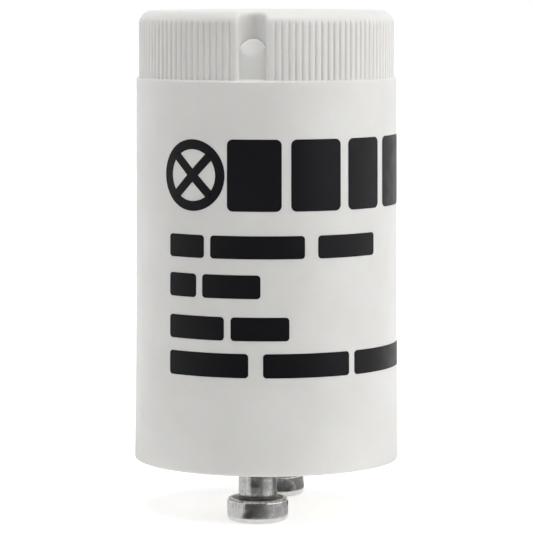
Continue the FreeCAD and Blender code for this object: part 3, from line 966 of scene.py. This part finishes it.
def sided_light(name, turn, height, distance, width, tall, power, colour=(1.0, 1.0, 1.0)):
    """An area light round the starter at an angle from the front, aimed at its middle."""
    data = bpy.data.lights.new(name, "AREA")
    data.shape = "RECTANGLE"
    data.size = width
    data.size_y = tall
    data.energy = power
    data.color = colour
    lamp = link_object(name, data)
    angle = math.radians(turn)
    lamp.location = (distance * math.sin(angle), -distance * math.cos(angle), height)
    aim = Vector((0.0, 0.0, 0.022)) - lamp.location
    lamp.rotation_euler = aim.to_track_quat("-Z", "Y").to_euler()
    return lamp


def camera_ray_mask(nodes, links):
    """1 where a ray comes from the camera, a mirror or clear glass, and 0 for light."""
    path = nodes.new("ShaderNodeLightPath")
    total = path.outputs["Is Camera Ray"]
    for name in ("Is Glossy Ray", "Is Transmission Ray"):
        add = nodes.new("ShaderNodeMath")
        add.operation = "MAXIMUM"
        links.new(total, add.inputs[0])
        links.new(path.outputs[name], add.inputs[1])
        total = add.outputs[0]
    return total


def build_world(front, back):
    """A white surround: full white to the eye, and to surfaces a level that falls
    off softly from the front round to the back."""
    world = bpy.data.worlds.new("studio_world")
    bpy.context.scene.world = world
    world.use_nodes = True
    nodes = world.node_tree.nodes
    links = world.node_tree.links
    surround = nodes["Background"]
    surround.inputs["Color"].default_value = (1.0, 1.0, 1.0, 1.0)
    place = nodes.new("ShaderNodeTexCoord")
    axes = nodes.new("ShaderNodeSeparateXYZ")
    fall = nodes.new("ShaderNodeMapRange")
    fall.interpolation_type = "SMOOTHSTEP"
    fall.inputs["From Min"].default_value = -0.4
    fall.inputs["From Max"].default_value = 1.0
    fall.inputs["To Min"].default_value = front
    fall.inputs["To Max"].default_value = back
    strength = nodes.new("ShaderNodeMapRange")
    links.new(place.outputs["Generated"], axes.inputs["Vector"])
    links.new(axes.outputs["Y"], fall.inputs["Value"])
    links.new(fall.outputs["Result"], strength.inputs["To Min"])
    strength.inputs["To Max"].default_value = 1.0
    links.new(camera_ray_mask(nodes, links), strength.inputs["Value"])
    links.new(strength.outputs["Result"], surround.inputs["Strength"])


def build_floor():
    """A wide white floor under the pins that keeps a soft shadow."""
    half = 3000.0
    mesh = new_mesh("studio_floor", [(-half, -half, 0), (half, -half, 0), (half, half, 0),
                                     (-half, half, 0)], [(0, 1, 2, 3)])
    floor = link_object("studio_floor", mesh)
    material, shader = new_material("studio_floor_white")
    shader.inputs["Base Color"].default_value = (0.90, 0.90, 0.90, 1.0)
    shader.inputs["Roughness"].default_value = 0.9
    shader.inputs["Specular IOR Level"].default_value = 0.0
    nodes = material.node_tree.nodes
    links = material.node_tree.links
    shader.inputs["Emission Color"].default_value = (1.0, 1.0, 1.0, 1.0)
    strength = nodes.new("ShaderNodeMapRange")
    strength.inputs["To Min"].default_value = 0.0
    strength.inputs["To Max"].default_value = 0.50
    links.new(camera_ray_mask(nodes, links), strength.inputs["Value"])
    links.new(strength.outputs["Result"], shader.inputs["Emission Strength"])
    mesh.materials.append(material)


def build_flag(turn, distance, width, low, high):
    """A dark card behind the camera, as a photographer stands there: the eye looks
    past it, and plastic and metal see it."""
    angle = math.radians(turn)
    out = Vector((math.sin(angle), -math.cos(angle), 0.0))
    across = Vector((math.cos(angle), math.sin(angle), 0.0)) * (width / 2)
    foot = out * distance + Vector((0.0, 0.0, low))
    head = out * distance + Vector((0.0, 0.0, high))
    mesh = bpy.data.meshes.new("studio_flag")
    mesh.from_pydata([foot - across, foot + across, head + across, head - across],
                     [], [(0, 1, 2, 3)])
    flag = link_object("studio_flag", mesh)
    flag.visible_camera = False
    material, shader = new_material("studio_flag_black")
    shader.inputs["Base Color"].default_value = (0.02, 0.02, 0.022, 1.0)
    shader.inputs["Roughness"].default_value = 0.9
    mesh.materials.append(material)


def build_low_flag(name, y, near, far, start, tones, rise=0.2):
    """A low card round a pin's foot, seen only by reflections: grey by direction."""
    turns = [start + 2 * step for step in range(int((tones[-1][0] - start) / 2) + 1)]
    points = []
    for turn in turns:
        for reach in (near, far):
            points.append((reach * math.sin(math.radians(turn)),
                           y - reach * math.cos(math.radians(turn)), rise))
    faces = [(2 * i, 2 * i + 1, 2 * i + 3, 2 * i + 2) for i in range(len(turns) - 1)]
    mesh = new_mesh(name, points, faces)
    tone = mesh.attributes.new("tone", "FLOAT", "POINT")
    for index, turn in enumerate(turns):
        grey = tones[0][1]
        for (low, dark), (high, light) in zip(tones, tones[1:]):
            if turn > low:
                grey = dark + (light - dark) * min(1.0, (turn - low) / (high - low))
        tone.data[2 * index].value = grey
        tone.data[2 * index + 1].value = grey
    card = link_object(name, mesh)
    for kind in ("camera", "diffuse", "shadow", "transmission", "volume_scatter"):
        setattr(card, "visible_" + kind, False)
    material, shader = new_material(name)
    reader = material.node_tree.nodes.new("ShaderNodeAttribute")
    reader.attribute_name = "tone"
    shader.inputs["Base Color"].default_value = (0.0, 0.0, 0.0, 1.0)
    shader.inputs["Specular IOR Level"].default_value = 0.0
    shader.inputs["Emission Color"].default_value = (1.0, 1.0, 1.02, 1.0)
    material.node_tree.links.new(reader.outputs["Fac"], shader.inputs["Emission Strength"])
    mesh.materials.append(material)


def build_camera():
    """The photograph's viewpoint."""
    azimuth = math.radians(6.37)
    distance = 0.2556
    down = 5.36
    data = bpy.data.cameras.new("studio_camera")
    data.lens = 214.2
    data.sensor_width = 36.0
    data.clip_start = 0.01
    data.clip_end = 20.0
    camera = link_object("studio_camera", data)
    camera.location = (distance * math.sin(azimuth), -distance * math.cos(azimuth), 0.0436)
    camera.rotation_euler = (math.radians(90 - down), 0.0, azimuth)
    bpy.context.scene.camera = camera


def dress_strip():
    """A better material for the one CAD piece that stays."""
    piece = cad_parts["bimetal_strip"]
    if not piece.material_slots:
        piece.data.materials.append(BIMETAL)
    for place in piece.material_slots:
        place.material = BIMETAL


build_can()
build_pin("starter_pin_front", "contact_pin_front", -PIN_Y)
build_pin("starter_pin_rear", "contact_pin_rear", PIN_Y)
build_disc()
build_bulb()
build_wires()
build_capacitor()
build_solder()
build_print()
dress_strip()

build_world(front=0.715, back=0.34)
build_floor()
build_flag(turn=2, distance=0.46, width=0.80, low=0.0, high=0.50)
build_low_flag("studio_card_front", -PIN_Y, near=3.5, far=19.0, start=-152, tones=[
    (-150, 0.74), (-48, 0.74), (-38, 0.66), (-36, 0.08), (0, 0.07), (9, 0.09), (30, 0.20),
    (53, 0.36), (90, 0.52), (128, 0.44), (150, 0.60)])
build_low_flag("studio_card_far", -PIN_Y, near=19.0, far=52.0, start=-152, tones=[
    (-150, 0.70), (-110, 0.70), (-62, 0.60), (-38, 0.62), (-36, 0.08), (0, 0.07), (9, 0.08),
    (30, 0.10), (53, 0.20), (68, 0.28), (90, 0.35), (120, 0.42), (150, 0.60)])
build_low_flag("studio_card_rear", PIN_Y, near=2.9, far=9.0, start=-20, tones=[
    (22, 0.05), (54, 0.08), (84, 0.17), (118, 0.30), (140, 0.56)], rise=0.4)
build_low_flag("studio_card_side", PIN_Y, near=9.0, far=20.0, start=56, tones=[
    (56, 0.10), (84, 0.17), (118, 0.30), (140, 0.56)], rise=0.4)
sided_light("studio_right", turn=75, height=0.08, distance=0.52, width=0.90, tall=0.55,
            power=1.80)
sided_light("studio_left", turn=-112, height=0.20, distance=0.60, width=0.50, tall=0.50,
            power=0.34, colour=(1.0, 0.97, 1.04))
sided_light("studio_top", turn=20, height=0.70, distance=0.12, width=0.40, tall=0.40,
            power=2.15)
bounce = sided_light("studio_bounce", turn=0, height=0.0008, distance=0.0, width=0.030,
                     tall=0.030, power=0.0008)
bounce.visible_camera = False
bounce.visible_glossy = False
build_camera()

scene = bpy.context.scene
scene.view_settings.view_transform = "Standard"
